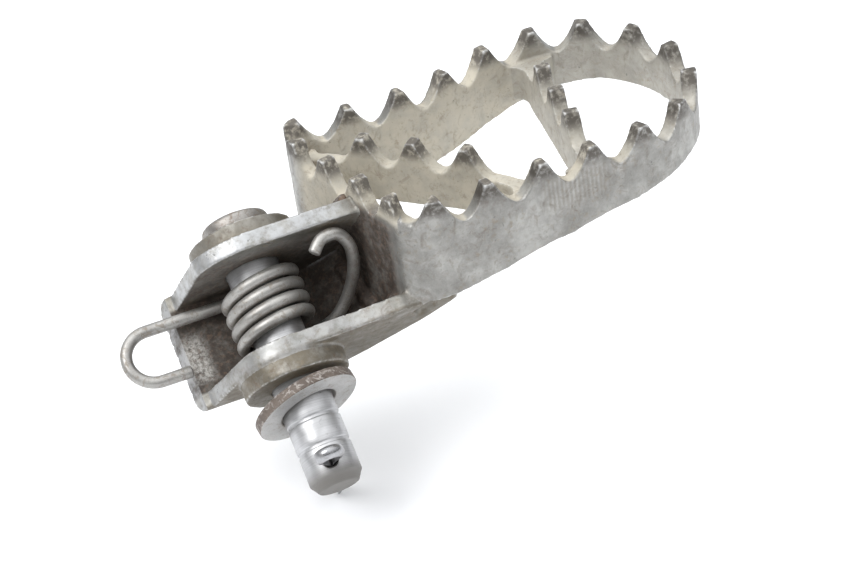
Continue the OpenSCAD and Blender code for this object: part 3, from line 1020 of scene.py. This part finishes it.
TAN = (0.24, 0.19, 0.13)
EDGE = (0.60, 0.60, 0.59)
LOOKS = {
    "tread_steel": weathered_steel("tread_steel", (0.24, 0.235, 0.22), (0.37, 0.365, 0.345), TAN,
                                   0.5, EDGE),
    "bracket_steel": weathered_steel("bracket_steel", (0.20, 0.195, 0.175), (0.32, 0.31, 0.285),
                                     (0.20, 0.16, 0.105), 0.75, EDGE, 50.0, rust_amount=0.45),
    "weld_steel": weathered_steel("weld_steel", (0.12, 0.09, 0.07), (0.22, 0.19, 0.165),
                                  (0.14, 0.085, 0.05), 0.6, (0.4, 0.38, 0.36), 80.0,
                                  rust_amount=0.7),
    "pin_steel": turned_steel("pin_steel", (0.40, 0.40, 0.405), (0.56, 0.56, 0.57), V, 100.0,
                              (0.12, 0.11, 0.095), 0.85, rough=(0.32, 0.46), metallic=0.8,
                              stain_line=0.61, hollow_shade_amount=0.6, darkened_end=PIN_END),
    "spring_steel": turned_steel("spring_steel", (0.31, 0.30, 0.285), (0.43, 0.42, 0.40), None,
                                 130.0, (0.16, 0.12, 0.08), 0.5, rough=(0.34, 0.48),
                                 metallic=0.7, hollow_shade_amount=0.5),
    "washer_zinc": turned_steel("washer_zinc", (0.40, 0.395, 0.385), (0.52, 0.515, 0.505), None,
                                160.0, (0.24, 0.18, 0.13), 0.4, rough=(0.38, 0.52), metallic=0.7),
    "cotter_zinc": turned_steel("cotter_zinc", (0.30, 0.30, 0.31), (0.45, 0.45, 0.46), None, 190.0,
                                (0.2, 0.19, 0.18), 0.4),
}
RUSTY_EDGE = turned_steel("washer_edge_rust", (0.10, 0.078, 0.065), (0.20, 0.165, 0.14), None,
                          220.0, (0.46, 0.43, 0.40), 0.7, rough=(0.55, 0.7), metallic=0.4)
HEAD_LOOK = turned_steel("pin_head_worn", (0.22, 0.205, 0.19), (0.36, 0.345, 0.325), None, 240.0,
                         (0.16, 0.11, 0.075), 0.6, rough=(0.35, 0.5), metallic=0.8)

for node, piece in pieces.items():
    piece.data.materials.clear()
    piece.data.materials.append(LOOKS[SLOT[node]])
for node, obj in frame["nodes"].items():
    obj.data.materials.clear()
    obj.data.materials.append(LOOKS[SLOT[node]])


def second_look(obj, look, chosen):
    """Gives the faces that chosen(centre, normal) picks a second material."""
    obj.data.materials.append(look)
    for face in obj.data.polygons:
        if chosen(face.center, face.normal):
            face.material_index = 1


WASHER_MIDDLE, WASHER_AXIS = washer_frame()
second_look(pieces["washer"], RUSTY_EDGE,
            lambda c, n: abs(n.dot(WASHER_AXIS)) < 0.8 and n.dot(c - WASHER_MIDDLE) > 0)
second_look(pieces["pivot_pin"], HEAD_LOOK, lambda c, n: c.dot(V) / MM > PIN_TOP - HEAD_T - 0.05)

# ---------------------------------------------------------------- floor, light and camera

low, high = cad_box
centre = (low + high) / 2
size = (high - low).length
FLOOR_REACH = 12 * size

floor_look = bpy.data.materials.new("pale_floor")
floor_look.use_nodes = True
floor_shader = floor_look.node_tree.nodes["Principled BSDF"]
floor_shader.inputs["Base Color"].default_value = (0.93, 0.935, 0.95, 1)
floor_shader.inputs["Roughness"].default_value = 0.6
floor = from_lists("floor", [(x * FLOOR_REACH, y * FLOOR_REACH, low.z) for x, y in
                             ((-1, -1), (1, -1), (1, 1), (-1, 1))], [(0, 1, 2, 3)])
floor.data.materials.append(floor_look)

# A soft studio: white walls that are dim near the floor and bright overhead
HORIZON = 0.32
ZENITH = 2.5
world = bpy.data.worlds.new("studio")
bpy.context.scene.world = world
world.use_nodes = True
background = world.node_tree.nodes["Background"]
ray = node_of(world.node_tree, "ShaderNodeTexCoord").outputs["Generated"]
height = node_of(world.node_tree, "ShaderNodeSeparateXYZ", {0: ray}).outputs["Z"]
overhead = node_of(world.node_tree, "ShaderNodeMath", {0: height, 1: 2.0}, operation="POWER",
                   use_clamp=False).outputs[0]
sky = node_of(world.node_tree, "ShaderNodeMapRange",
              {"Value": overhead, "From Min": 0.0, "From Max": 1.0,
               "To Min": HORIZON, "To Max": ZENITH})
world.node_tree.links.new(sky.outputs["Result"], background.inputs["Strength"])
background.inputs["Color"].default_value = (0.97, 0.985, 1, 1)


# One large soft sun, from the left and above
key_data = bpy.data.lights.new("key", "SUN")
key_data.energy = 1.5
key_data.angle = math.radians(40)
key = new_object("key", key_data)
key.rotation_euler = Vector((-0.75, -0.1, 1.0)).to_track_quat("Z", "Y").to_euler()

# The photograph's viewpoint and the direction to its right, looking at the middle of the part
EYE = Vector((-98.6, -413.2, 271.5)) * MM
RIGHT = Vector((0.9428, -0.2604, -0.2079))
camera_data = bpy.data.cameras.new("camera")
camera = new_object("camera", camera_data)
back = (EYE - centre).normalized()
right = (RIGHT - back * RIGHT.dot(back)).normalized()
up = back.cross(right)
camera.matrix_world = Matrix.Translation(EYE) @ Matrix((right, up, back)).transposed().to_4x4()
camera_data.sensor_width = 36
camera_data.lens = 96
camera_data.clip_start = 0.01
camera_data.clip_end = 20
bpy.context.scene.camera = camera
bpy.context.scene.view_settings.view_transform = "Standard"
